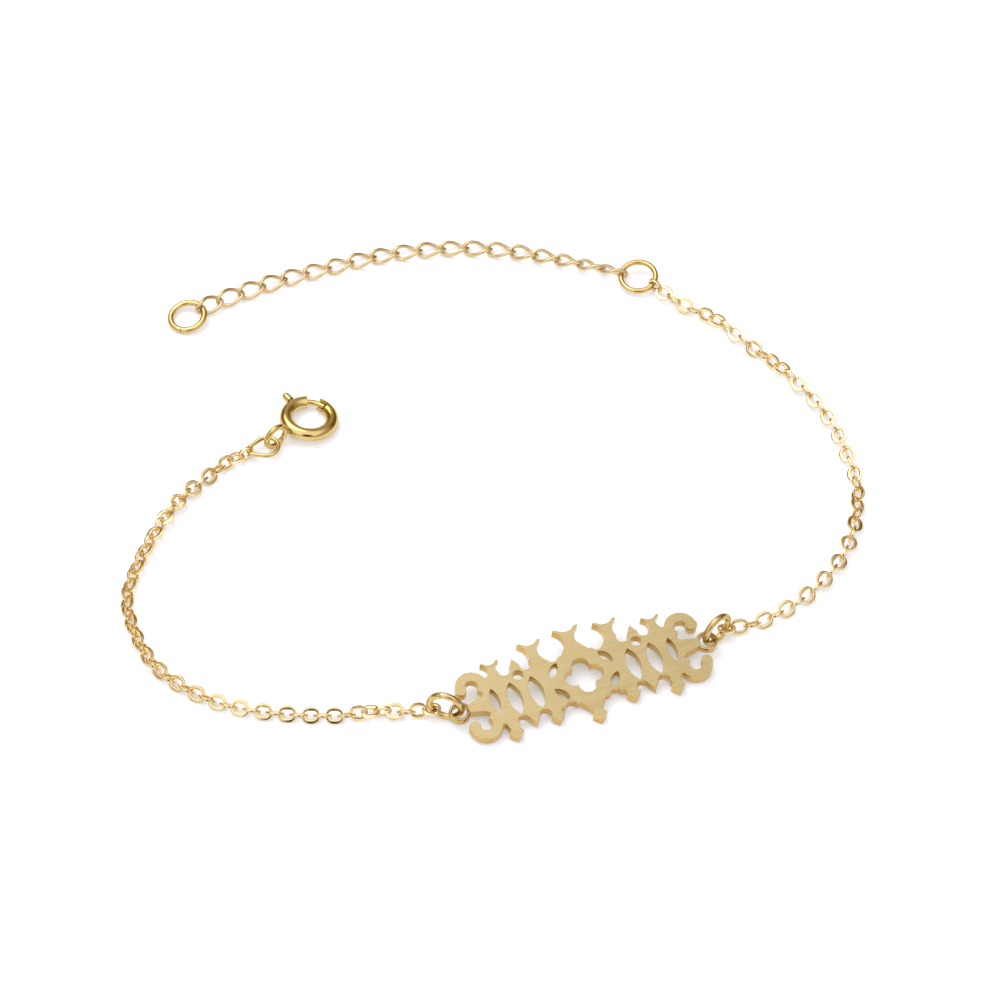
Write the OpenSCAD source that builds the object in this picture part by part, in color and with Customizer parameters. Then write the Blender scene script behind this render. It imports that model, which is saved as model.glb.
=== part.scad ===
// Nameplate bracelet, lying open on a flat surface at z = 0, in millimetres.
// A pierced plate hangs between two flat cable chains. The left chain ends in
// a spring ring clasp, the right one in a curb extender with its end ring.

/* [Nameplate] */
// Distance between the middles of the two eyes
plate_l = 25.5; // [24:0.5:32]
// Thickness of the plate
plate_t = 1.0; // [0.8:0.1:1.2]
// Height of the band across the plate
band_h = 5.4; // [5:0.1:6.4]
// Reach of the middle finial above the centre line
crest_h = 5.6; // [5.2:0.1:7]
// Reach of the middle spur below the centre line
spur_h = 5.2; // [4.8:0.1:6.4]
// Width of a finial across its two tips
finial_w = 2.6; // [2.2:0.1:3]
// Outer radius of the scrolls at the plate's ends
scroll_r = 1.6; // [1.4:0.05:1.8]
// Width of the scrolls' strokes
stroke_w = 0.95; // [0.7:0.05:1.1]
// Outer diameter of the soldered eyes
eye_d = 2.1; // [2.05:0.05:2.3]
// Bore of the soldered eyes
eye_bore = 1.5; // [1.45:0.05:1.6]
// Height of the soldered eyes, through the plate
eye_h = 0.8; // [0.7:0.05:0.9]
// Direction of the plate on the surface, in degrees
plate_yaw = 20; // [10:1:30]
// Slope of the plate on the surface, in degrees
plate_tilt = 8; // [5:1:11]

/* [Rings] */
// Outer diameter of the jump rings at the plate
jump_d = 3.8; // [3.6:0.1:4.4]
// Wire of the jump rings at the plate
jump_wire = 0.66; // [0.5:0.02:0.66]
// Outer diameter of the ring between chain and extender
extender_ring_d = 4.2; // [3.8:0.1:4.6]
// Outer diameter of the ring at the end of the extender
end_ring_d = 4.2; // [3.8:0.1:5]
// Wire of the ring between chain and extender
loop_wire = 0.58; // [0.5:0.02:0.6]
// Wire of the ring at the end of the extender
end_wire = 0.66; // [0.5:0.02:0.7]
// Width of the closed seam in a ring
seam = 0.05; // [0.03:0.01:0.1]

/* [Cable chain] */
// Length of a cable link
link_l = 1.86; // [1.84:0.01:2]
// Width of a cable link
link_w = 1.68; // [1.64:0.01:1.8]
// Thickness of a cable link
link_t = 0.27; // [0.22:0.01:0.3]
// Length of the hole in a cable link
hole_l = 1.50; // [1.46:0.01:1.54]
// Width of the hole in a cable link
hole_w = 0.86; // [0.84:0.01:0.94]
// Rounding of the hole's corners
hole_corner = 0.28; // [0.2:0.01:0.4]
// Number of links in the left chain
left_links = 53; // [43:2:61]
// Number of links in the right chain
right_links = 46; // [38:2:54]
// Slack at each joint of the left chain, which lies loose
left_slack = 0.35; // [0.16:0.01:0.36]
// Slack at each joint of the right chain, which lies drawn out
right_slack = 0.18; // [0.16:0.01:0.26]

/* [Extender] */
// Number of links in the extender
extender_links = 19; // [14:1:22]
// Length of an extender link
curb_l = 3.38; // [3.2:0.01:3.6]
// Width of an extender link
curb_w = 2.05; // [1.9:0.05:2.2]
// Wire of an extender link
curb_wire = 0.4; // [0.34:0.01:0.44]
// Turn of an extender link's two ends against its middle, in degrees
curb_twist = 41; // [39:1:45]
// Gap between neighbouring extender links, and between a link and its ring
curb_gap = 0.14; // [0.12:0.01:0.2]

/* [Clasp] */
// Radius of the clasp's tube, to the middle of the tube
clasp_r = 2.35; // [2.25:0.05:2.8]
// Outer diameter of the clasp's tube
tube_d = 1.3; // [1.1:0.05:1.4]
// Diameter of the sliding bolt
bolt_d = 0.6; // [0.5:0.02:0.64]
// Clearance round the bolt in its bore
bolt_fit = 0.07; // [0.04:0.01:0.09]
// Diameter of the thumb knob
knob_d = 0.86; // [0.7:0.02:0.9]
// Outer diameter of the eye soldered to the clasp
clasp_eye_d = 3.0; // [2.8:0.1:3.2]
// Wire of the eye soldered to the clasp
clasp_eye_wire = 0.6; // [0.5:0.02:0.62]
// Length of the pear shaped ring between chain and clasp
pear_l = 3.6; // [3.5:0.1:4.2]
// Width of the pear shaped ring
pear_w = 2.9; // [2.8:0.1:3.1]
// Wire of the pear shaped ring
pear_wire = 0.45; // [0.4:0.01:0.48]
// Angle that the bolt slides back, in degrees
bolt_travel = 48; // [40:1:50]

/* [Hidden] */
$fn = 48;

gold = [0.84, 0.70, 0.42];
deep_gold = [0.78, 0.61, 0.30];
pale_gold = [0.90, 0.80, 0.56];

// Small clearances that several pieces share
ring_play = 0.14;   // between a jump ring's wire and the link that it holds
pear_play = 0.16;   // the same at the pear shaped ring
pear_rest = 0.1;    // between the pear shaped ring and the clasp's eye under it
solder = 0.12;      // how far soldered pieces run into each other
corner = 0.09;      // chamfer of the flat eyes' edges

// Routes of the chains, points chosen by hand. The chains' points are laid
// from their first link, the extender's from its ring and turned with the
// end of the right chain.
left_route = [
    [0, 0], [-4.6, -0.1], [-9.4, -0.5], [-14.2, -0.3], [-18.9, 0.5], [-23.2, 2.4],
    [-26.7, 5.3], [-29.0, 9.5], [-30.0, 13.8], [-29.2, 17.9], [-27.6, 22.2],
    [-25.7, 26.0], [-23.1, 29.1], [-21.1, 31.1], [-19.4, 32.2]];
right_route = [
    [0, 0], [3.4, 1.1], [7.8, 4.1], [11.3, 8.4], [13.1, 13.1], [13.7, 18.2],
    [13.0, 22.0], [11.4, 27.0], [8.7, 31.5], [4.6, 36.2], [0.7, 40.2],
    [-2.4, 42.4], [-4.6, 44.0], [-5.8, 45.2]];
extender_route = [
    [0, 0], [1.4, 0.6], [5.6, 2.8], [10.0, 5.3], [13.8, 8.3], [17.2, 12.1],
    [20.0, 16.2], [22.3, 20.7], [24.3, 25.0], [25.8, 29.2], [26.7, 32.0], [27.3, 34.4]];

// Twist of the cable chains: [share of the links, roll of the odd links]
// after the first link, which hangs square on its ring's wire
left_turns = [
    [0.04, 46], [0.14, 136], [0.31, 138], [0.42, 130], [0.56, 130], [0.66, 148],
    [0.77, 162], [0.88, 200], [1, 268]];
right_turns = [
    [0.05, -42], [0.29, -80], [0.38, -50], [0.45, -22], [0.67, -22],
    [0.80, 62], [0.84, 72], [0.94, 150], [1, 178]];
// Extra roll of the first extender links, and mirrored of the last ones
curb_turn = [44, 33, 23, 13, 5];

// The plate's place on the surface before the whole is centred
plate_at = [8.2, -23.4];
// Directions of the standing jump rings on the surface, in degrees
left_ring_yaw = 165;
right_ring_yaw = 45;
// Directions of the rings' closed seams, in degrees
jump_seam_a = 75;
extender_seam_a = -100;
end_seam_a = 40;
// How far a piece points away from the end of its chain, in degrees
ring_in_turn = 11;      // to the middle of the extender's ring
ring_out_turn = 31;     // from the middle of that ring to the extender
pear_turn = -17;        // the pear shaped ring
clasp_turn = 9;         // the clasp
// Height that a chain's start is held up by its ring, and over what length
start_lift = 0.13;
lift_run = 3;
// Most slack at a chain's first joint, which the ring's weight draws out
first_slack = 0.2;

// Plate ornament, x as a share of half the plate's length
half_l = plate_l / 2;
band_end = 0.75;     // end of the band
scroll_x = 0.847;    // middles of the scrolls
scroll_y = 0.39;     // middles of the scrolls, as a share of the plate's reach
bay_x = 0.478;       // middles of the window bays
// Finials: [x share, reach as a share of the crest's, share of the full width]
finials = [[0, 1, 1], [0.306, 0.93, 0.92], [0.651, 0.76, 0.72]];
// Spurs: [x share, reach as a share of the middle spur's]
spurs = [[0, 1], [0.306, 0.78], [0.651, 0.88]];
// Scallops in the band's edges: x shares
scallops = [0.18, 0.392, 0.565];
// Open side of a scroll, in degrees, up to its ball end
scroll_mouth = [-130, -80, -40, -4];

// Turns a flat vector by an angle
function turned(v, a) = [v.x * cos(a) - v.y * sin(a), v.x * sin(a) + v.y * cos(a)];
function dir(a) = [cos(a), sin(a)];
function unit(v) = v / norm(v);

// A closed tube of wire round a path, as points and faces. Each point of the
// path has a vector that shows which way is up there.
function tube_points(path, ups, wire, sides) = let (n = len(path)) [for (i = [0:n - 1])
    let (ahead = unit(path[(i + 1) % n] - path[(i + n - 1) % n]),
         side = unit(cross(ups[i], ahead)), up = cross(ahead, side))
    for (k = [0:sides - 1]) let (a = 360 * k / sides)
        path[i] + wire / 2 * (side * cos(a) + up * sin(a))];
function tube_faces(n, sides) = [for (i = [0:n - 1], k = [0:sides - 1])
    let (j = (i + 1) % n, m = (k + 1) % sides)
    [i * sides + k, j * sides + k, j * sides + m, i * sides + m]];

// A smooth curve through a route's points, as tables of x and y by length
route_steps = 8;
spare_run = 40;
function bend(a, b, c, d, t) =
    0.5 * (2 * b + (c - a) * t + (2 * a - 5 * b + 4 * c - d) * t * t
           + (3 * b - a - 3 * c + d) * t * t * t);
function smoothed(p) = let (last = len(p) - 1) concat(
    [for (i = [0:last - 1], k = [0:route_steps - 1])
        bend(p[max(i - 1, 0)], p[i], p[i + 1], p[min(i + 2, last)], k / route_steps)],
    [p[last], p[last] + spare_run * unit(p[last] - p[last - 1])]);
function lengths(p) =
    [for (i = 0, s = 0; i < len(p);
          s = s + (i + 1 < len(p) ? norm(p[i + 1] - p[i]) : 0), i = i + 1) s];
function tables(p) = let (q = smoothed(p), s = lengths(q))
    [for (axis = [0, 1]) [for (i = [0:len(q) - 1]) [s[i], q[i][axis]]]];
function along(route, s) = [lookup(s, route[0]), lookup(s, route[1])];
heading_reach = 0.2;
function heading(route, s) =
    let (d = along(route, s + heading_reach) - along(route, s - heading_reach)) atan2(d.y, d.x);

// The plate's frame: its middle lies so high that its lowest tips touch down
plate_low = max([for (s = spurs) s[1]]) * spur_h;
plate_z = plate_low * sin(plate_tilt) + plate_t / 2 * cos(plate_tilt);
function on_plate(x, y) =
    let (p = turned([x, y * cos(plate_tilt)], plate_yaw))
    [plate_at.x + p.x, plate_at.y + p.y, plate_z + y * sin(plate_tilt)];

// A jump ring stands on its edge. It runs through the plate's eye low on one
// side, and through the chain's first link low on the other.
jump_r = (jump_d - jump_wire) / 2;
link_lie = (link_w - link_t) / 2 + link_t / 2;
start_z = link_lie + start_lift;
function ring_centre(x, yaw) =
    let (eye = on_plate(x, 0), reach = sqrt(jump_r ^ 2 - (jump_d / 2 - eye.z) ^ 2))
    [eye.x + reach * cos(yaw), eye.y + reach * sin(yaw), jump_d / 2];
start_lean = asin((jump_d / 2 - start_z) / jump_r);
start_hold = hole_l / 2 - jump_wire / 2 / cos(start_lean) - link_t / 2 * tan(start_lean) - ring_play;
function chain_start(x, yaw, route) =
    let (c = ring_centre(x, yaw), reach = jump_r * cos(start_lean),
         ahead = dir(heading(route, 0)) * start_hold)
    [c.x + reach * cos(yaw) + ahead.x, c.y + reach * sin(yaw) + ahead.y];

// Roll of a first link that is square to the ring's wire that it hangs on
function first_roll(yaw, route) =
    atan2(sin(start_lean) * sin(heading(route, 0) - yaw), cos(start_lean));

left_tables = tables(left_route);
right_tables = tables(right_route);
left_twist = concat([[0, first_roll(left_ring_yaw, left_tables)]], left_turns);
right_twist = concat([[0, first_roll(right_ring_yaw, right_tables)]], right_turns);
left_start = chain_start(-half_l, left_ring_yaw, left_tables);
right_start = chain_start(half_l, right_ring_yaw, right_tables);
left_pitch = hole_l - left_slack;
right_pitch = hole_l - right_slack;

// A cable link's place: [x, y, z, heading, slope, roll]. Neighbours differ by
// a quarter turn and lie as high as the steeper one of the two needs.
function lie(roll) =
    (link_w - link_t) / 2 * max(abs(sin(roll)), abs(cos(roll))) + link_t / 2;
function chain_z(s, run, twist) =
    lie(lookup(s / run, twist)) + start_lift * max(0, 1 - s / lift_run) ^ 2;
function cable_place(start, route, twist, pitch, count, i) =
    let (s = i * pitch + (i > 0 ? max(hole_l - pitch - first_slack, 0) : 0),
         run = (count - 1) * pitch, p = start + along(route, s),
         rise = chain_z(s + pitch / 2, run, twist) - chain_z(s - pitch / 2, run, twist))
    [p.x, p.y, chain_z(s, run, twist), heading(route, s), atan2(rise, pitch),
     lookup(i / (count - 1), twist) + 90 * (i % 2)];
left_places = [for (i = [0:left_links - 1])
    cable_place(left_start, left_tables, left_twist, left_pitch, left_links, i)];
right_places = [for (i = [0:right_links - 1])
    cable_place(right_start, right_tables, right_twist, right_pitch, right_links, i)];

// An extender link: an oval of wire whose two ends are turned against each other
curb_a = (curb_l - curb_wire) / 2;
curb_b = (curb_w - curb_wire) / 2;
curb_pitch = curb_l - 2 * curb_wire - curb_gap;
curb_hold = curb_l / 2 - curb_wire - loop_wire / 2 - curb_gap;
curb_steps = 16;
curb_sides = 6;
function curb_roll(x) = -curb_twist * sin(90 * x / curb_a);
function curb_path(f) =
    let (x = curb_a * cos(f), y = curb_b * sin(f), roll = curb_roll(x))
    [x, y * cos(roll), y * sin(roll)];
function curb_up(f) = let (roll = curb_roll(curb_a * cos(f))) [0, -sin(roll), cos(roll)];
curb_angles = [for (i = [0:curb_steps - 1]) 360 * i / curb_steps];
curb_points = tube_points([for (f = curb_angles) curb_path(f)], [for (f = curb_angles) curb_up(f)],
                          curb_wire, curb_sides);
function curb_extra(i) = i <= len(curb_turn) ? curb_turn[i - 1]
    : i > extender_links - len(curb_turn) ? -curb_turn[extender_links - i] : 0;
// Height at which a link's wire touches down, given its roll and its slope
function curb_lie(roll, slope) = curb_wire / 2 + max([for (k = [0:35]) let (p = curb_path(10 * k))
    p.x * sin(slope) + (p.y * sin(roll) + p.z * cos(roll)) * cos(slope)]);
function curb_slope(i) =
    let (before = max(i - 1, 1), after = min(i + 1, extender_links),
         rise = curb_lie(curb_extra(after), 0) - curb_lie(curb_extra(before), 0))
    atan2(rise, (after - before) * curb_pitch);

// The extender's ring lies tilted, held up by the standing links on each side
extender_ring_r = (extender_ring_d - loop_wire) / 2;
extender_ring_tilt = 9;
right_last = right_places[right_links - 1];
right_end = right_last[3];
ring_in = right_end + ring_in_turn;
ring_out = right_end + ring_out_turn;
ring_half = (ring_in + 180 - ring_out) / 2;
ring_step = 2 * extender_ring_r * sin(extender_ring_tilt) * sin(ring_half);
first_curb_z = curb_lie(curb_extra(1), curb_slope(1)) - curb_hold * tan(curb_slope(1));
// Direction of the ring's raised side, which brings both holds to height
ring_raised = ring_out + ring_half - 180 + asin((first_curb_z - right_last.z) / ring_step);
function ring_rise(a) = extender_ring_r * sin(extender_ring_tilt) * cos(a - ring_raised);
ring_hold = [right_last.x, right_last.y]
    + dir(right_end) * (hole_l / 2 - loop_wire / 2 - ring_play);
extender_ring_at = [
    ring_hold.x + extender_ring_r * cos(ring_in),
    ring_hold.y + extender_ring_r * sin(ring_in),
    right_last.z - ring_rise(ring_in + 180)];

extender_tables = tables(extender_route);
extender_start = [extender_ring_at.x, extender_ring_at.y] + extender_ring_r * dir(ring_out);
// An extender link's place: [x, y, z, heading, slope, roll]
function curb_place(i) =
    let (s = curb_hold + (i - 1) * curb_pitch, slope = curb_slope(i),
         p = extender_start + turned(along(extender_tables, s), right_end))
    [p.x, p.y, curb_lie(curb_extra(i), slope), right_end + heading(extender_tables, s),
     slope, curb_extra(i)];
curb_places = [for (i = [1:extender_links]) curb_place(i)];

// The end ring lies with one side on the surface and one on the last link
end_ring_r = (end_ring_d - end_wire) / 2;
curb_last = curb_places[extender_links - 1];
end_hold = curb_l / 2 - curb_wire - end_wire / 2 - curb_gap;
end_hold_z = curb_last.z + end_hold * tan(curb_last[4]);
end_ring_tilt = asin((end_hold_z - end_wire / 2) / (2 * end_ring_r));
end_ring_at = let (reach = end_hold + end_ring_r * cos(end_ring_tilt))
    [curb_last.x + reach * cos(curb_last[3]), curb_last.y + reach * sin(curb_last[3]),
     end_hold_z - end_ring_r * sin(end_ring_tilt)];

// The pear shaped ring's tip is in the left chain's last link, and its round
// end rises to lie over the lower side of the clasp's eye
left_last = left_places[left_links - 1];
left_end = left_last[3];
pear_yaw = left_end + pear_turn;
pear_round_r = (pear_w - pear_wire) / 2;
pear_tip_r = 0.58;
pear_run = pear_l - pear_wire - pear_round_r - pear_tip_r;
pear_slant = asin((pear_round_r - pear_tip_r) / pear_run);
pear_sides = 8;
pear_steps = 10;
function pear_arc(x, r, from, to) = [for (i = [0:pear_steps])
    let (a = from + (to - from) * i / pear_steps) [x + r * cos(a), r * sin(a), 0]];
pear_path = concat(
    pear_arc(0, pear_round_r, -90 - pear_slant, 90 + pear_slant),
    pear_arc(-pear_run, pear_tip_r, 90 + pear_slant, 270 - pear_slant));
pear_hold = hole_l / 2 - pear_wire / 2 - pear_play;
pear_rise = max(clasp_eye_wire + pear_rest + pear_wire / 2 - left_last.z, 0);
pear_tilt = asin(pear_rise / (pear_l - pear_wire));
pear_z = left_last.z + (pear_run + pear_tip_r) * sin(pear_tilt);
pear_centre = [left_last.x, left_last.y]
    + dir(left_end) * (pear_hold + pear_tip_r) + dir(pear_yaw) * pear_run;

// The clasp lies between its standing eye and the far side of its tube
clasp_yaw = left_end + clasp_turn;
clasp_eye_r = (clasp_eye_d - clasp_eye_wire) / 2;
clasp_eye_at = clasp_r + tube_d / 2 + clasp_eye_d / 2 - solder;
clasp_tilt = asin((clasp_eye_d - tube_d) / 2 / (clasp_eye_at + clasp_r));
clasp_at = let (p = pear_centre
        + dir(clasp_yaw) * (pear_round_r + clasp_eye_at * cos(clasp_tilt)))
    [p.x, p.y, tube_d / 2 + clasp_r * sin(clasp_tilt)];
clasp_axis = [sin(clasp_tilt) * cos(clasp_yaw), sin(clasp_tilt) * sin(clasp_yaw), cos(clasp_tilt)];
// Angles round the clasp
clasp_eye_a = 218;
gap_from = 62;
gap_to = 93;
catch_from = 35;
bolt_tip_a = 46;
knob_a = 125;
bolt_rear_a = 144;
bore_spare_a = 4;
knob_gap = 0.07;
stem_d = 0.4;
stem_fit = 0.05;
knob_h = 0.7;

// Half the room that a cable link takes up along an axis
function link_reach(place, axis) =
    let (h = place[3], roll = place[5],
         ahead = axis == 0 ? cos(h) : sin(h),
         across = (axis == 0 ? sin(h) : -cos(h)) * sin(roll))
    (link_l - link_w) / 2 * abs(ahead) + (link_w - link_t) / 2 * sqrt(1 - across ^ 2)
    + link_t / 2;
function curb_corner(place, p) =
    let (y = p.y * cos(place[5]) - p.z * sin(place[5]), q = turned([p.x, y], place[3]))
    [place.x + q.x, place.y + q.y];
// The bracelet's middle, so that it lies centred over the origin
scroll_low = on_plate(-scroll_x * half_l, -scroll_y * crest_h).y
    - scroll_r * sqrt(1 - (sin(plate_tilt) * cos(plate_yaw)) ^ 2)
    - plate_t / 2 * sin(plate_tilt) * cos(plate_yaw);
low_x = min([for (p = left_places) p.x - link_reach(p, 0)]);
high_x = max([for (p = right_places) p.x + link_reach(p, 0)]);
high_y = max([for (p = curb_places, c = curb_points) curb_corner(p, c).y]);
middle = [(low_x + high_x) / 2, (scroll_low + high_y) / 2];

module laid() {
    translate([-middle.x, -middle.y, 0]) children();
}

module placed(p) {
    translate([p.x, p.y, p.z]) rotate([0, 0, p[3]]) rotate([0, -p[4], 0])
        rotate([p[5], 0, 0]) children();
}

// A round wire ring in the XY plane, with its seam at an angle
module wire_ring(d, wire, seam_a) {
    r = (d - wire) / 2;
    open = seam / r * 180 / PI;
    rotate([0, 0, seam_a])
        rotate_extrude(start = open / 2, angle = 360 - open)
            translate([r, 0]) circle(d = wire);
}

// A pointed oval of half width w and half height h
module lancet(w, h) {
    r = (h * h + w * w) / (2 * w);
    intersection() {
        translate([r - w, 0]) circle(r);
        translate([w - r, 0]) circle(r);
    }
}

// A hollow-sided stem that flares into two tips, from y = 0 up to h
module finial(h, flare) {
    stem = 0.42 * flare;
    tip = 0.1 * flare;
    waist_y = 0.45 * h;
    side_r = ((flare - stem) ^ 2 + (h - tip - waist_y) ^ 2) / (2 * (flare - stem));
    notch_r = 0.9 * flare;
    notch_y = h + 0.55 * flare;
    difference() {
        translate([-flare, 0]) square([2 * flare, h]);
        for (side = [-1, 1]) translate([side * (stem + side_r), waist_y]) circle(side_r);
        translate([0, notch_y]) circle(notch_r);
    }
}

// A tapered stem on a lozenge, from y = 0 down to -h
module spur(h) {
    foot = 0.28 * finial_w;
    tip = 0.4 * foot;
    polygon([[-foot, foot - h], [0, -h], [foot, foot - h], [0, 2 * foot - h]]);
    polygon([[-foot, 0], [-tip, foot - h], [tip, foot - h], [foot, 0]]);
}

// An open scroll with a ball end, curling in towards the plate's eye
module scroll() {
    difference() {
        circle(scroll_r);
        circle(scroll_r - stroke_w);
        polygon(concat([[0, 0]], [for (a = scroll_mouth) 2 * scroll_r * dir(a)]));
    }
    ball_r = 0.6 * stroke_w;
    translate((scroll_r - stroke_w / 2) * dir(max(scroll_mouth))) circle(ball_r);
}

// A gable over a window bay, with the point under it
module bay() {
    side = 0.44 * band_h;
    peak = 0.7 * crest_h;
    foot = 0.69 * spur_h;
    polygon([[-side, 0], [0, peak], [side, 0], [0, -foot]]);
}

// Two lancet windows under a round one
module bay_windows() {
    lancet_x = 0.204 * band_h;
    lancet_y = -0.06 * band_h;
    round_y = 0.37 * band_h;
    for (side = [-1, 1])
        translate([side * lancet_x, lancet_y]) lancet(0.133 * band_h, 0.34 * band_h);
    translate([0, round_y]) circle(0.1 * band_h);
}

module quatrefoil() {
    lobe = 0.165 * band_h;
    reach = 1.18 * lobe;
    circle(lobe);
    for (a = [0:90:270]) rotate(a) translate([reach, 0]) circle(lobe);
}

// The pierced openings and edge scallops on the right half of the plate
module piercings() {
    translate([bay_x * half_l, 0]) bay_windows();
    slit_x = 0.716 * half_l;
    leaf_x = 0.212 * half_l;
    leaf_y = 0.25 * band_h;
    leaf_turn = 36;
    scallop_y = 0.54 * band_h;
    translate([slit_x, 0]) lancet(0.083 * band_h, 0.26 * band_h);
    for (up = [-1, 1]) {
        translate([leaf_x, up * leaf_y])
            rotate(up * leaf_turn) lancet(0.075 * band_h, 0.175 * band_h);
        for (x = scallops)
            translate([x * half_l, up * scallop_y]) circle(0.11 * band_h);
    }
}

// The hollow-sided neck between the band and an eye
module neck() {
    from = (band_end - 0.02) * half_l;
    bend = scroll_x * half_l - scroll_r / 3;
    to = half_l - eye_d / 2 + solder;
    root = 0.32 * band_h;
    waist = 0.15 * band_h;
    tip = 0.22 * eye_d;
    polygon([[from, root], [bend, waist], [to, tip], [to, -tip], [bend, -waist], [from, -root]]);
}

// The right half of the plate's outline, before it is pierced
module half_face() {
    edge = band_h / 2;
    peak = 0.82 * crest_h;
    side = 0.267 * half_l;
    foot = 0.85 * spur_h;
    translate([0, -edge]) square([band_end * half_l, band_h]);
    polygon([[0, peak], [side, 0], [0, -foot]]);
    for (f = finials)
        translate([f[0] * half_l, edge]) finial(f[1] * crest_h - edge, f[2] * finial_w / 2);
    for (f = spurs) translate([f[0] * half_l, -edge]) spur(f[1] * spur_h - edge);
    translate([bay_x * half_l, 0]) bay();
    for (up = [0, 1])
        mirror([0, up]) translate([scroll_x * half_l, scroll_y * crest_h]) scroll();
    neck();
}

module plate_face() {
    for (side = [0, 1]) mirror([side, 0])
        difference() {
            half_face();
            quatrefoil();
            piercings();
        }
}

module flat_eye() {
    inner = eye_bore / 2;
    outer = eye_d / 2;
    side = eye_h / 2 - corner;
    rotate_extrude()
        polygon([[inner, -side], [inner + corner, -eye_h / 2], [outer - corner, -eye_h / 2],
                 [outer, -side], [outer, side], [outer - corner, eye_h / 2],
                 [inner + corner, eye_h / 2], [inner, side]]);
}

module nameplate() color(gold) laid() {
    translate([plate_at.x, plate_at.y, plate_z])
        rotate([0, 0, plate_yaw]) rotate([plate_tilt, 0, 0]) {
            linear_extrude(height = plate_t, center = true) plate_face();
            for (side = [-1, 1]) translate([side * half_l, 0, 0]) flat_eye();
        }
}

module jump_ring(x, yaw) {
    c = ring_centre(x, yaw);
    translate(c) rotate([0, 0, yaw]) rotate([90, 0, 0]) wire_ring(jump_d, jump_wire, jump_seam_a);
}

module jump_ring_left() color(gold) laid() jump_ring(-half_l, left_ring_yaw);

module jump_ring_right() color(gold) laid() jump_ring(half_l, right_ring_yaw);

// A flat cable link with a rounded rim, lying in the XY plane
module cable_link() {
    rim = (link_w - link_t) / 2;
    run = link_l - link_w;
    difference() {
        union() {
            for (end = [0, 180])
                rotate([0, 0, end]) translate([run / 2, 0, 0])
                    rotate_extrude(start = -90, angle = 180) {
                        translate([0, -link_t / 2]) square([rim, link_t]);
                        translate([rim, 0]) circle(d = link_t);
                    }
            rotate([90, 0, 90]) linear_extrude(height = run, center = true) {
                square([2 * rim, link_t], center = true);
                for (side = [-1, 1]) translate([side * rim, 0]) circle(d = link_t);
            }
        }
        linear_extrude(height = 2 * link_t, center = true) {
            square([hole_l - 2 * hole_corner, hole_w], center = true);
            square([hole_l, hole_w - 2 * hole_corner], center = true);
            for (x = [-1, 1], y = [-1, 1])
                translate([x * (hole_l / 2 - hole_corner), y * (hole_w / 2 - hole_corner)])
                    circle(hole_corner);
        }
    }
}

module chain_left() color(deep_gold) laid()
    for (p = left_places) placed(p) cable_link();

module chain_right() color(deep_gold) laid()
    for (p = right_places) placed(p) cable_link();

module extender_ring() color(gold) laid()
    translate(extender_ring_at)
        rotate([0, 0, ring_raised]) rotate([0, -extender_ring_tilt, 0])
            wire_ring(extender_ring_d, loop_wire, extender_seam_a);

function extender_name(i) = str("extender_link_", i < 10 ? "0" : "", i);

module extender_link(i) color(pale_gold) laid()
    placed(curb_places[i - 1]) polyhedron(curb_points, tube_faces(curb_steps, curb_sides), convexity = 4);

module end_ring() color(gold) laid()
    translate(end_ring_at)
        rotate([0, 0, curb_last[3]]) rotate([0, end_ring_tilt, 0])
            wire_ring(end_ring_d, end_wire, end_seam_a);

// The pear shaped ring, its round end's middle at the origin, its tip towards -X
module clasp_jump_ring() color(gold) laid()
    translate([pear_centre.x, pear_centre.y, pear_z]) rotate([0, 0, pear_yaw]) rotate([0, -pear_tilt, 0])
        polyhedron(tube_points(pear_path, [for (p = pear_path) [0, 0, 1]], pear_wire, pear_sides),
                   tube_faces(len(pear_path), pear_sides), convexity = 4);

module at_clasp() {
    translate(clasp_at) rotate([0, 0, clasp_yaw + 180]) rotate([0, -clasp_tilt, 0])
        rotate([0, 0, -clasp_eye_a]) children();
}

// A stretch of round bar bent round the clasp's middle
module arc_bar(d, from, to) {
    rotate_extrude(start = from, angle = to - from)
        translate([clasp_r, 0]) circle(d = d);
}

module clasp_ring() color(gold) laid() at_clasp() {
    bore = bolt_d + 2 * bolt_fit;
    slot_w = stem_d + 2 * stem_fit;
    slot_a = slot_w / 2 / clasp_r * 180 / PI;
    past = 1;        // degrees that a cut runs out past the tube's end
    mouth = 0.1;     // how far the catch's mouth reaches below and beyond the tube's middle
    difference() {
        arc_bar(tube_d, gap_to, gap_from + 360);
        arc_bar(bore, gap_to - past, bolt_rear_a + bolt_travel + bore_spare_a);
        arc_bar(bore, bolt_tip_a - bore_spare_a, gap_from + past);
        // Slot for the knob's stem
        rotate_extrude(start = knob_a - slot_a, angle = bolt_travel + 2 * slot_a)
            translate([clasp_r, -slot_w / 2]) square([tube_d, slot_w]);
        // Open mouth of the catch, on its inner upper side
        rotate_extrude(start = catch_from, angle = gap_from + past - catch_from)
            translate([clasp_r - tube_d, -mouth]) square([tube_d + mouth, tube_d]);
    }
    rotate([0, 0, clasp_eye_a]) translate([clasp_eye_at, 0, 0]) rotate([90, 0, 0])
        rotate_extrude() translate([clasp_eye_r, 0]) circle(d = clasp_eye_wire);
}

module clasp_trigger() color(deep_gold) laid() at_clasp() {
    arc_bar(bolt_d, bolt_tip_a, bolt_rear_a);
    knob_from = clasp_r + tube_d / 2 + knob_gap;
    rotate([0, 0, knob_a]) rotate([0, 90, 0]) {
        translate([0, 0, clasp_r]) cylinder(d = stem_d, h = knob_from - clasp_r + solder);
        translate([0, 0, knob_from]) cylinder(d = knob_d, h = knob_h);
        translate([0, 0, knob_from + knob_h]) sphere(d = knob_d);
    }
}

nameplate();
jump_ring_left();
jump_ring_right();
chain_left();
chain_right();
clasp_jump_ring();
clasp_ring();
clasp_trigger();
extender_ring();
end_ring();
for (i = [1:extender_links])
    extender_link(i);
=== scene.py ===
import math

import bmesh
import bpy
import numpy as np
from mathutils import Matrix, Vector


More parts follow.
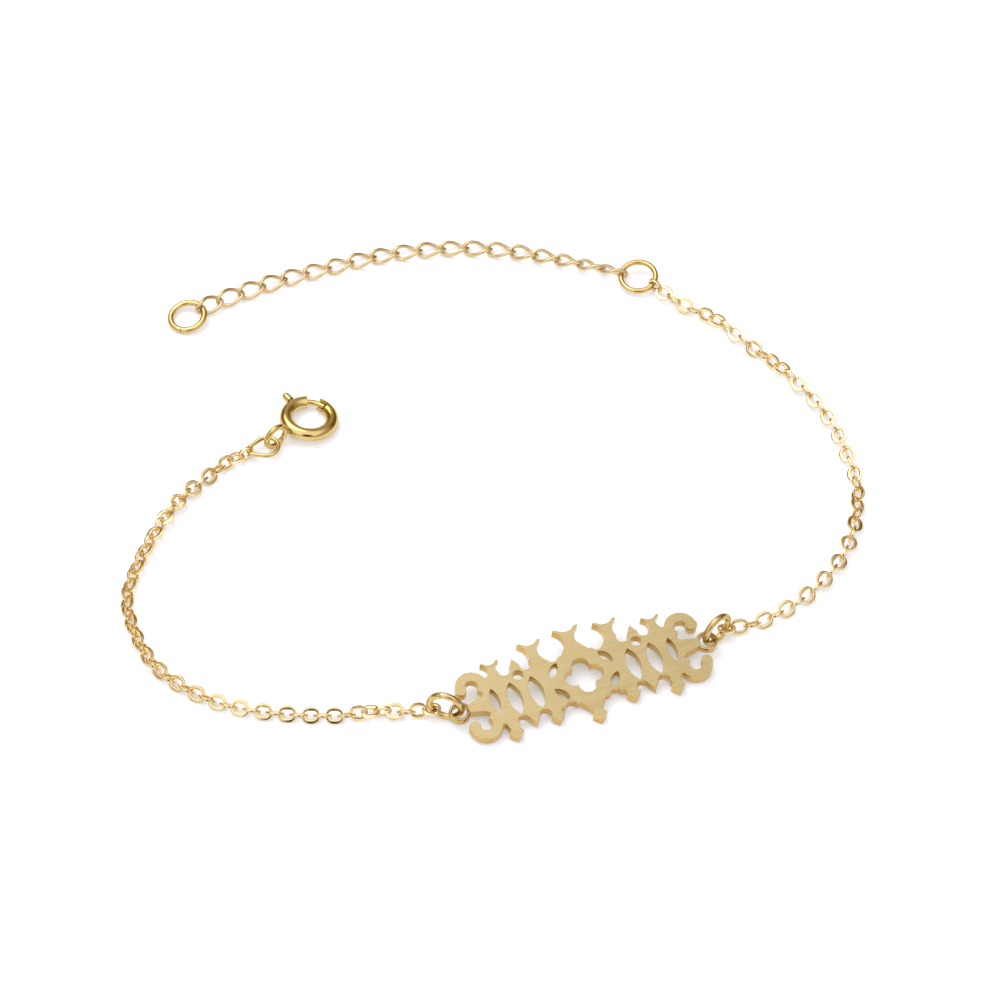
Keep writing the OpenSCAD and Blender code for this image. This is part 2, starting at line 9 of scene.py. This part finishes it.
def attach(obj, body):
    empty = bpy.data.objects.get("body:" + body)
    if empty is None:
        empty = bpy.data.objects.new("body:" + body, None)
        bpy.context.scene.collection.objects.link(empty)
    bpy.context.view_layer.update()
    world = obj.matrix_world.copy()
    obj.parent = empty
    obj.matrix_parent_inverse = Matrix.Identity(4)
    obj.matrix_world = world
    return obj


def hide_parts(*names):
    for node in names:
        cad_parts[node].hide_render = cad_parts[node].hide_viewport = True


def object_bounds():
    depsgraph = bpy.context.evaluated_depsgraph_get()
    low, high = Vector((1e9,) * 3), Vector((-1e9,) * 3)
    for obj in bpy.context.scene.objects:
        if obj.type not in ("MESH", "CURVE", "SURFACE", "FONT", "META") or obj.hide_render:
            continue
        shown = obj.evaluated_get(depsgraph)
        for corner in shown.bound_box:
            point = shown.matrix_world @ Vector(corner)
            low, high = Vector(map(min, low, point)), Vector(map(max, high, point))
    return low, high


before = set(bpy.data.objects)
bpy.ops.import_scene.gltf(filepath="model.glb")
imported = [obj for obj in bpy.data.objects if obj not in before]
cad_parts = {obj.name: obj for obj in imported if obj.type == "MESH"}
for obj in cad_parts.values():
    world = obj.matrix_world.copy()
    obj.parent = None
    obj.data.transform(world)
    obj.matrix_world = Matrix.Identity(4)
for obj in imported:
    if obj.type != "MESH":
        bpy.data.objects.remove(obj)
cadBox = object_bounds()
mm = 0.001


def addTo(piece):
    bpy.context.scene.collection.objects.link(piece)
    return piece


def feed(tree, socket, value):
    # A socket takes another node's output, a colour, or a plain value
    if isinstance(value, bpy.types.NodeSocket):
        tree.links.new(value, socket)
    elif socket.type == "RGBA":
        socket.default_value = (*value, 1)
    else:
        socket.default_value = value


def noiseNode(tree, vector, scale, detail, rough=0.5):
    node = tree.nodes.new("ShaderNodeTexNoise")
    given = {"Vector": vector, "Scale": scale, "Detail": detail, "Roughness": rough}
    for label, part in given.items():
        feed(tree, node.inputs[label], part)
    return node.outputs["Fac"]


def mathNode(tree, operation, *values):
    node = tree.nodes.new("ShaderNodeMath")
    node.operation = operation
    for socket, value in zip(node.inputs, values):
        feed(tree, socket, value)
    return node.outputs["Value"]


def vectorNode(tree, operation, *values):
    node = tree.nodes.new("ShaderNodeVectorMath")
    node.operation = operation
    for socket, value in zip(node.inputs, values):
        feed(tree, socket, value)
    return node.outputs["Value" if operation in ("DOT_PRODUCT", "LENGTH") else "Vector"]


def turnNode(tree, vector, turn):
    node = tree.nodes.new("ShaderNodeMapping")
    feed(tree, node.inputs["Vector"], vector)
    feed(tree, node.inputs["Rotation"], turn)
    return node.outputs["Vector"]


def rangeNode(tree, value, low, high, toLow=0.0, toHigh=1.0):
    node = tree.nodes.new("ShaderNodeMapRange")
    node.interpolation_type = "SMOOTHSTEP"
    given = {"Value": value, "From Min": low, "From Max": high, "To Min": toLow, "To Max": toHigh}
    for label, part in given.items():
        feed(tree, node.inputs[label], part)
    return node.outputs["Result"]


def mixShares(tree, a, b, share):
    # So much of a, and the rest of b
    partA, partB = mathNode(tree, "MULTIPLY", a, share), mathNode(tree, "MULTIPLY", b, 1 - share)
    return mathNode(tree, "ADD", partA, partB)


def mixColor(tree, factor, a, b):
    node = tree.nodes.new("ShaderNodeMix")
    node.data_type = "RGBA"
    colorA, colorB = (socket for socket in node.inputs if socket.type == "RGBA")
    for socket, value in ((node.inputs["Factor"], factor), (colorA, a), (colorB, b)):
        feed(tree, socket, value)
    return next(socket for socket in node.outputs if socket.type == "RGBA")


def startMaterial(name, metallic=1):
    paint = bpy.data.materials.new(name)
    paint.use_nodes = True
    tree = paint.node_tree
    shader = tree.nodes["Principled BSDF"]
    shader.inputs["Metallic"].default_value = metallic
    place = tree.nodes.new("ShaderNodeTexCoord")
    return paint, tree, shader, place.outputs["Object"]


# The photograph's view: from the front, half way up, through a long lens
cameraSettings = {
    "elevation": 50,                          # degrees above the floor
    "distance": 0.4722,                       # metres to the point looked at
    "lookAt": (0.000393, -0.002028, 0),       # point on the floor
    "lens": 170, "sensor": 36,                # millimetres
    "nearest": 0.01, "farthest": 20,          # metres
}


def makeCamera(s):
    data = bpy.data.cameras.new("photoCamera")
    data.lens = s["lens"]
    data.sensor_width = s["sensor"]
    data.clip_start = s["nearest"]
    data.clip_end = s["farthest"]
    camera = addTo(bpy.data.objects.new("photoCamera", data))
    lift = math.radians(s["elevation"])
    away = Vector((0, -math.cos(lift), math.sin(lift)))
    camera.location = Vector(s["lookAt"]) + away * s["distance"]
    camera.rotation_euler = (-away).to_track_quat("-Z", "Y").to_euler()
    bpy.context.scene.camera = camera


# A light tent: warm walls, and patches that lighten or darken them
tentSettings = {
    "wallLight": (0.50, 0.43, 0.33),
    "patches": {                              # direction, cosines of the outer and inner edge, light
        "ceiling": ((-0.10, -0.42, 0.90), 0.42, 0.84, (1.36, 1.36, 1.48)),
        "leftGap": ((-0.75, 0.62, 0.22), 0.76, 0.93, (0.24, 0.15, 0.05)),
        "rightGap": ((0.75, 0.62, 0.22), 0.76, 0.93, (0.24, 0.15, 0.05)),
        "cameraGap": ((0, -0.86, 0.51), 0.935, 0.97, (0.05, 0.03, 0.01)),
    },
}


def makeTent(s):
    world = bpy.data.worlds.new("lightTent")
    bpy.context.scene.world = world
    world.use_nodes = True
    tree = world.node_tree
    place = tree.nodes.new("ShaderNodeTexCoord")
    light = s["wallLight"]
    for direction, outer, inner, patchLight in s["patches"].values():
        middle = Vector(direction).normalized()
        toward = vectorNode(tree, "DOT_PRODUCT", place.outputs["Generated"], middle)
        light = mixColor(tree, rangeNode(tree, toward, outer, inner), light, patchLight)
    tree.links.new(light, tree.nodes["Background"].inputs["Color"])


# One round lamp, back left, for the soft shadow and the highlights
keySettings = {
    "power": 0.75,                            # watts
    "size": 0.38,                             # metres
    "place": (-0.16, 0.2, 0.4),
}


def makeKey(s):
    data = bpy.data.lights.new("keyLight", "AREA")
    data.shape = "DISK"
    data.size = s["size"]
    data.energy = s["power"]
    lamp = addTo(bpy.data.objects.new("keyLight", data))
    lamp.location = s["place"]
    lamp.rotation_euler = (-lamp.location).to_track_quat("-Z", "Y").to_euler()


# A pale floor, glowing a little round the middle so that it reads as white
floorSettings = {
    "reach": 3,                               # metres from the middle to each side
    "paint": (0.88, 0.92, 0.98), "roughness": 0.9, "specular": 0,
    "glowColor": (1, 1, 1), "glow": 0.25,
    "glowInner": 0.07, "glowOuter": 0.3,      # metres between which the glow fades out
}


def makeFloor(s):
    bm = bmesh.new()
    bmesh.ops.create_grid(bm, x_segments=1, y_segments=1, size=s["reach"])
    mesh = bpy.data.meshes.new("floor")
    bm.to_mesh(mesh)
    bm.free()
    floor = addTo(bpy.data.objects.new("floor", mesh))
    floor.location.z = cadBox[0][2]
    paint, tree, shader, vector = startMaterial("floorPaint", metallic=0)
    far = vectorNode(tree, "LENGTH", vector)
    glow = rangeNode(tree, far, s["glowInner"], s["glowOuter"], s["glow"], 0)
    looks = {"Base Color": s["paint"], "Roughness": s["roughness"], "Specular IOR Level": s["specular"],
             "Emission Color": s["glowColor"], "Emission Strength": glow}
    for label, value in looks.items():
        feed(tree, shader.inputs[label], value)
    mesh.materials.append(paint)


bpy.context.scene.view_settings.view_transform = "Standard"
makeCamera(cameraSettings)
makeTent(tentSettings)
makeKey(keySettings)
makeFloor(floorSettings)
print("camera, tent and floor are set")


def newGroup(name, inputs, outputs):
    tree = bpy.data.node_groups.new(name, "ShaderNodeTree")
    for way, sockets in (("INPUT", inputs), ("OUTPUT", outputs)):
        for label, kind in sockets.items():
            tree.interface.new_socket(label, in_out=way, socket_type="NodeSocket" + kind)
    return tree, tree.nodes.new("NodeGroupInput").outputs, tree.nodes.new("NodeGroupOutput").inputs


# Plating that is a little thinner or richer from place to place
toneSettings = {
    "wideDetail": 3, "wideShare": 0.7,
    "fineDetail": 2, "fineScale": 7.0,        # times as fine as the wide patches
    "edges": (0.36, 0.64),                    # noise that is all rich and all pale
}


def makeGoldTone(s):
    tree, given, out = newGroup(
        "goldTone",
        {"Vector": "Vector", "Rich": "Color", "Pale": "Color", "Patches": "Float"},
        {"Color": "Color"})
    wide = noiseNode(tree, given["Vector"], given["Patches"], s["wideDetail"])
    finer = mathNode(tree, "MULTIPLY", given["Patches"], s["fineScale"])
    fine = noiseNode(tree, given["Vector"], finer, s["fineDetail"])
    pale = rangeNode(tree, mixShares(tree, wide, fine, s["wideShare"]), *s["edges"])
    tree.links.new(mixColor(tree, pale, given["Rich"], given["Pale"]), out["Color"])
    return tree


# Smudges and hairline scratches of a worn polish
markSettings = {
    "smudgeDetail": 4, "smudgeRough": 0.6, "smudgeEdges": (0.35, 0.68),
    "smudgeHeight": 0.4,                      # against a scratch's depth of 1
    "scratches": (                            # turn in radians, and grains in a metre each way
        ((0.3, 0.2, 0.7), (500, 22000, 9000)),
        ((0.9, 0.5, -0.6), (14000, 600, 9000)),
    ),
    "scratchDetail": 1, "scratchEdges": (0.66, 0.74),
}


def makeHandlingMarks(s):
    tree, given, out = newGroup(
        "handlingMarks",
        {"Vector": "Vector", "Smooth": "Float", "Dull": "Float", "Smudges": "Float"},
        {"Roughness": "Float", "Height": "Float"})
    clouds = noiseNode(tree, given["Vector"], given["Smudges"], s["smudgeDetail"], s["smudgeRough"])
    smudge = rangeNode(tree, clouds, *s["smudgeEdges"])
    scratches = []
    for turn, grains in s["scratches"]:
        stretched = vectorNode(tree, "MULTIPLY", turnNode(tree, given["Vector"], turn), grains)
        grain = noiseNode(tree, stretched, 1.0, s["scratchDetail"])
        scratches.append(rangeNode(tree, grain, *s["scratchEdges"]))
    lines = mathNode(tree, "MAXIMUM", *scratches)
    worn = mathNode(tree, "MAXIMUM", smudge, lines)
    raised = mathNode(tree, "MULTIPLY", smudge, s["smudgeHeight"])
    tree.links.new(rangeNode(tree, worn, 0.0, 1.0, given["Smooth"], given["Dull"]), out["Roughness"])
    tree.links.new(mathNode(tree, "SUBTRACT", raised, lines), out["Height"])
    return tree


# Fine parallel grain along X, as a satin wheel leaves it
grainSettings = {
    "fineDetail": 3, "fineRough": 0.65, "fineShare": 0.5,
    "broadScale": 0.16, "broadDetail": 2, "broadShare": 0.6,
    "cloudScale": 330.0, "cloudDetail": 3,
    "dullEdges": (0.36, 0.64), "shadeEdges": (0.38, 0.62),
}


def makeBrushedGrain(s):
    tree, given, out = newGroup(
        "brushedGrain",
        {"Vector": "Vector", "Along": "Float", "Across": "Float", "Smooth": "Float", "Dull": "Float"},
        {"Roughness": "Float", "Height": "Float", "Shade": "Float"})
    grains = tree.nodes.new("ShaderNodeCombineXYZ")
    for socket, label in zip(grains.inputs, ("Along", "Across", "Across")):
        tree.links.new(given[label], socket)
    stretched = vectorNode(tree, "MULTIPLY", given["Vector"], grains.outputs["Vector"])
    fine = noiseNode(tree, stretched, 1.0, s["fineDetail"], s["fineRough"])
    broad = noiseNode(tree, stretched, s["broadScale"], s["broadDetail"])
    cloud = noiseNode(tree, given["Vector"], s["cloudScale"], s["cloudDetail"])
    worn = mixShares(tree, fine, cloud, s["fineShare"])
    shade = mixShares(tree, broad, cloud, s["broadShare"])
    roughness = rangeNode(tree, worn, *s["dullEdges"], given["Smooth"], given["Dull"])
    tree.links.new(roughness, out["Roughness"])
    tree.links.new(fine, out["Height"])
    tree.links.new(rangeNode(tree, shade, *s["shadeEdges"]), out["Shade"])
    return tree


goldTone = makeGoldTone(toneSettings)
handlingMarks = makeHandlingMarks(markSettings)
brushedGrain = makeBrushedGrain(grainSettings)


def useGroup(tree, group, vector, s, labels):
    # The material's own values go to the group's inputs, such as smooth to Smooth
    node = tree.nodes.new("ShaderNodeGroup")
    node.node_tree = group
    tree.links.new(vector, node.inputs["Vector"])
    for label in labels:
        feed(tree, node.inputs[label.capitalize()], s[label])
    return node.outputs


def addBump(tree, shader, height, depth):
    bump = tree.nodes.new("ShaderNodeBump")
    bump.inputs["Distance"].default_value = depth
    tree.links.new(height, bump.inputs["Height"])
    tree.links.new(bump.outputs["Normal"], shader.inputs["Normal"])


def polishedGold(name, s):
    paint, tree, shader, vector = startMaterial(name)
    tone = useGroup(tree, goldTone, vector, s, ("rich", "pale", "patches"))
    marks = useGroup(tree, handlingMarks, vector, s, ("smooth", "dull", "smudges"))
    tree.links.new(tone["Color"], shader.inputs["Base Color"])
    tree.links.new(marks["Roughness"], shader.inputs["Roughness"])
    addBump(tree, shader, marks["Height"], s["depth"])
    return paint


def satinGold(name, s):
    paint, tree, shader, vector = startMaterial(name)
    turned = turnNode(tree, vector, (0, 0, -math.radians(s["grainYaw"])))
    grain = useGroup(tree, brushedGrain, turned, s, ("along", "across", "smooth", "dull"))
    tone = useGroup(tree, goldTone, vector, s, ("rich", "pale", "patches"))
    color = mixColor(tree, grain["Shade"], tone["Color"], s["bright"])
    tree.links.new(color, shader.inputs["Base Color"])
    tree.links.new(grain["Roughness"], shader.inputs["Roughness"])
    addBump(tree, shader, grain["Height"], s["depth"])
    return paint


# Patches, smudges and grains are counted in a metre, and the marks' depth is in metres
metalSettings = {
    "plateFace": {"rich": (0.475, 0.375, 0.18), "pale": (0.505, 0.402, 0.20),
                  "bright": (0.525, 0.425, 0.22), "patches": 260.0,
                  "along": 1500.0, "across": 26000.0, "grainYaw": 20,
                  "smooth": 0.34, "dull": 0.44, "depth": 0.003 * mm},
    # The walls' gold, darker and deeper than the face's, is painted shade of the plate's recesses
    "plateWallPaintedShade": {"rich": (0.58, 0.37, 0.10), "pale": (0.68, 0.46, 0.16), "patches": 500.0,
                  "smudges": 900.0, "smooth": 0.16, "dull": 0.28, "depth": 0.002 * mm},
    "rings": {"rich": (0.62, 0.44, 0.16), "pale": (0.71, 0.54, 0.25), "patches": 600.0,
              "smudges": 900.0, "smooth": 0.19, "dull": 0.3, "depth": 0.0015 * mm},
    "cable": {"rich": (0.78, 0.59, 0.28), "pale": (0.88, 0.71, 0.41), "patches": 700.0,
              "smudges": 1400.0, "smooth": 0.12, "dull": 0.24, "depth": 0.003 * mm},
    "clasp": {"rich": (0.63, 0.455, 0.15), "pale": (0.72, 0.55, 0.24), "patches": 420.0,
              "smudges": 800.0, "smooth": 0.1, "dull": 0.2, "depth": 0.0015 * mm},
    "extender": {"rich": (0.66, 0.48, 0.21), "pale": (0.73, 0.565, 0.29),
                 "bright": (0.76, 0.61, 0.35), "patches": 500.0,
                 "along": 9000.0, "across": 15000.0, "grainYaw": 0,
                 "smooth": 0.3, "dull": 0.45, "depth": 0.004 * mm},
}
plateFace = satinGold("satinPlateFace", metalSettings["plateFace"])
plateWallPaintedShade = polishedGold("polishedPlateWallPaintedShade", metalSettings["plateWallPaintedShade"])
ringGold = polishedGold("polishedRing", metalSettings["rings"])
cableGold = polishedGold("polishedCable", metalSettings["cable"])
claspGold = polishedGold("polishedClasp", metalSettings["clasp"])
extenderGold = satinGold("satinExtender", metalSettings["extender"])
print("metals are mixed")


# What the pieces' meshes share
meshSettings = {
    "joinWithin": 0.0005 * mm,                # corners of the solids' loose triangles
    "cornerFrom": 50,                         # degrees at which an edge gets its bevel
    "bevelProfile": 0.5,
}


def mergedCopy(*nodes):
    # The CAD meshes are loose triangles, so their corners are joined first
    bm = bmesh.new()
    for node in nodes:
        bm.from_mesh(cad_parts[node].data)
    bmesh.ops.remove_doubles(bm, verts=bm.verts, dist=meshSettings["joinWithin"])
    return bm


def softenEdges(bm, s, material):
    corner = math.radians(meshSettings["cornerFrom"])
    edges = [e for e in bm.edges if len(e.link_faces) == 2 and e.calc_face_angle() > corner]
    bmesh.ops.bevel(bm, geom=edges, offset=s["edge"], affect="EDGES", segments=s["edgeSteps"],
                    profile=meshSettings["bevelProfile"], material=material, clamp_overlap=True)


def finishPiece(bm, name, materials, nodes, smoothBelow):
    mesh = bpy.data.meshes.new(name)
    bm.to_mesh(mesh)
    bm.free()
    for paint in materials:
        mesh.materials.append(paint)
    mesh.polygons.foreach_set("use_smooth", [True] * len(mesh.polygons))
    mesh.set_sharp_from_angle(angle=math.radians(smoothBelow))
    piece = addTo(bpy.data.objects.new(name, mesh))
    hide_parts(*nodes)
    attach(piece, "bracelet")
    return piece


def keepFlatsFlat(piece):
    weigh = piece.modifiers.new("flatNormals", "WEIGHTED_NORMAL")
    weigh.mode = "FACE_AREA"
    weigh.keep_sharp = True


# The plate: satin faces, polished walls whose darker, deeper gold is painted shade, and softened edges
plateSettings = {
    "yaw": 20, "tilt": 8,                     # degrees, as the solid lies
    "sameWay": 0.999,                         # cosine within which a side faces as the plate does
    "flatWithin": 0.6,                        # degrees within which triangles are joined
    "edge": 0.075 * mm, "edgeSteps": 3,
    "smoothBelow": 40,                        # degrees
}


def makePlate(s):
    bm = mergedCopy("nameplate")
    bmesh.ops.dissolve_limit(bm, angle_limit=math.radians(s["flatWithin"]),
                             verts=bm.verts, edges=bm.edges)
    bm.normal_update()
    yaw = Matrix.Rotation(math.radians(s["yaw"]), 3, "Z")
    tilt = Matrix.Rotation(math.radians(s["tilt"]), 3, "X")
    up = yaw @ tilt @ Vector((0, 0, 1))
    materials = [plateFace, plateWallPaintedShade]
    wall = materials.index(plateWallPaintedShade)
    for face in bm.faces:
        face.material_index = 0 if abs(face.normal.dot(up)) > s["sameWay"] else wall
    softenEdges(bm, s, wall)
    keepFlatsFlat(finishPiece(bm, "plate", materials, ["nameplate"], s["smoothBelow"]))


makePlate(plateSettings)
print("plate is finished")


# One flat cable link, laid over every link of the chains' solids
linkSettings = {
    "length": 1.86 * mm, "width": 1.68 * mm, "thick": 0.28 * mm,
    "holeLength": {"cableLinksLeft": 1.25 * mm, "cableLinksRight": 1.39 * mm},
    "holeWidth": 0.84 * mm, "holeCorner": 0.4 * mm,
    "segments": 36, "edge": 0.06 * mm, "edgeSteps": 2,
    "smoothBelow": 40,                        # degrees
    "turnSteps": 360,                         # tries in half a turn, for a link's long side
}


def roundedPoint(angle, halfX, halfY, radius, halvings=30):
    # Where a ray from the middle leaves a rectangle with round corners, found by halving
    low, high = 0.0, 2 * max(halfX, halfY)
    across, up = abs(math.cos(angle)), abs(math.sin(angle))
    for _ in range(halvings):
        reach = (low + high) / 2
        x, y = reach * across - (halfX - radius), reach * up - (halfY - radius)
        if max(x, 0) ** 2 + max(y, 0) ** 2 < radius ** 2:
            low = reach
        else:
            high = reach
    return Vector((low * math.cos(angle), low * math.sin(angle), 0))


def shapeRim(rim, length, width, corner):
    for v in rim:
        v.co = roundedPoint(math.atan2(v.co.y, v.co.x), length / 2, width / 2, corner)


def newVerts(grown):
    return [v for v in grown["geom"] if isinstance(v, bmesh.types.BMVert)]


def makeLink(s, holeLength):
    bm = bmesh.new()
    bmesh.ops.create_circle(bm, cap_ends=False, segments=s["segments"], radius=1)
    outside = list(bm.verts)
    hole = newVerts(bmesh.ops.extrude_edge_only(bm, edges=bm.edges[:]))
    shapeRim(outside, s["length"], s["width"], s["width"] / 2)
    shapeRim(hole, holeLength, s["holeWidth"], s["holeCorner"])
    top = newVerts(bmesh.ops.extrude_face_region(bm, geom=bm.faces[:]))
    bmesh.ops.translate(bm, verts=top, vec=(0, 0, s["thick"]))
    bmesh.ops.translate(bm, verts=bm.verts, vec=(0, 0, -s["thick"] / 2))
    bmesh.ops.recalc_face_normals(bm, faces=bm.faces)
    softenEdges(bm, s, -1)
    mesh = bpy.data.meshes.new("cableLink")
    bm.to_mesh(mesh)
    bm.free()
    return mesh


def looseSolids(bm):
    # The solids of a merged node, each as a list of its corners
    seen, found = set(), []
    for start in bm.verts:
        if start in seen:
            continue
        seen.add(start)
        solid = [start]
        for v in solid:                       # the list grows while it is gone through
            for e in v.link_edges:
                near = e.other_vert(v)
                if near not in seen:
                    seen.add(near)
                    solid.append(near)
        found.append(solid)
    return found


def linkFrame(corners, turnSteps):
    # Middle of a flat link, and its length, width and thickness directions, from its corners
    middle = (corners.min(axis=0) + corners.max(axis=0)) / 2
    thin = Vector(np.linalg.eigh(np.cov((corners - middle).T))[1][:, 0])
    side = thin.orthogonal().normalized()
    tries = [Matrix.Rotation(math.pi * step / turnSteps, 3, thin) @ side for step in range(turnSteps)]
    length = max(tries, key=lambda turned: np.ptp(corners @ np.array(turned)))
    return Vector(middle), length, thin.cross(length), thin


def makeChain(node, name, s):
    link = makeLink(s, s["holeLength"][name])
    solids = mergedCopy(node)
    bm = bmesh.new()
    for corners in looseSolids(solids):
        middle, *directions = linkFrame(np.array([v.co for v in corners]), s["turnSteps"])
        place = Matrix(directions).transposed().to_4x4()
        place.translation = middle
        before = len(bm.verts)
        bm.from_mesh(link)
        bm.verts.ensure_lookup_table()
        bmesh.ops.transform(bm, matrix=place, verts=bm.verts[before:])
    solids.free()
    keepFlatsFlat(finishPiece(bm, name, [cableGold], [node], s["smoothBelow"]))


makeChain("chain_left", "cableLinksLeft", linkSettings)
makeChain("chain_right", "cableLinksRight", linkSettings)
print("cable chains are linked")


# Bent wire: the solids' flat sides are joined, swelled and rounded
wireSettings = {
    "extenderLinks": {"swell": 0.038 * mm, "rounding": 2},
    "pearRing": {"swell": 0.024 * mm, "rounding": 2},
    "smoothBelow": 180,                       # degrees
}


def roundWire(name, paint, nodes, s):
    bm = mergedCopy(*nodes)
    bmesh.ops.join_triangles(bm, faces=bm.faces, angle_face_threshold=math.pi,
                             angle_shape_threshold=math.pi)
    bm.normal_update()
    for v, push in [(v, v.normal * s[name]["swell"]) for v in bm.verts]:
        v.co += push
    piece = finishPiece(bm, name, [paint], nodes, s["smoothBelow"])
    smooth = piece.modifiers.new("roundWire", "SUBSURF")
    smooth.levels = smooth.render_levels = s[name]["rounding"]


curbNodes = sorted(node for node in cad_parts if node.startswith("extender_link"))
roundWire("extenderLinks", extenderGold, curbNodes, wireSettings)
roundWire("pearRing", ringGold, ["clasp_jump_ring"], wireSettings)
print("extender and pear ring are bent")


# The other rings and the clasp keep their solids, and are polished
for metal, nodes in ((ringGold, ("jump_ring_left", "jump_ring_right", "extender_ring", "end_ring")),
                     (claspGold, ("clasp_ring", "clasp_trigger"))):
    for node in nodes:
        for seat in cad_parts[node].material_slots:
            seat.material = metal
print("rings and clasp are polished")
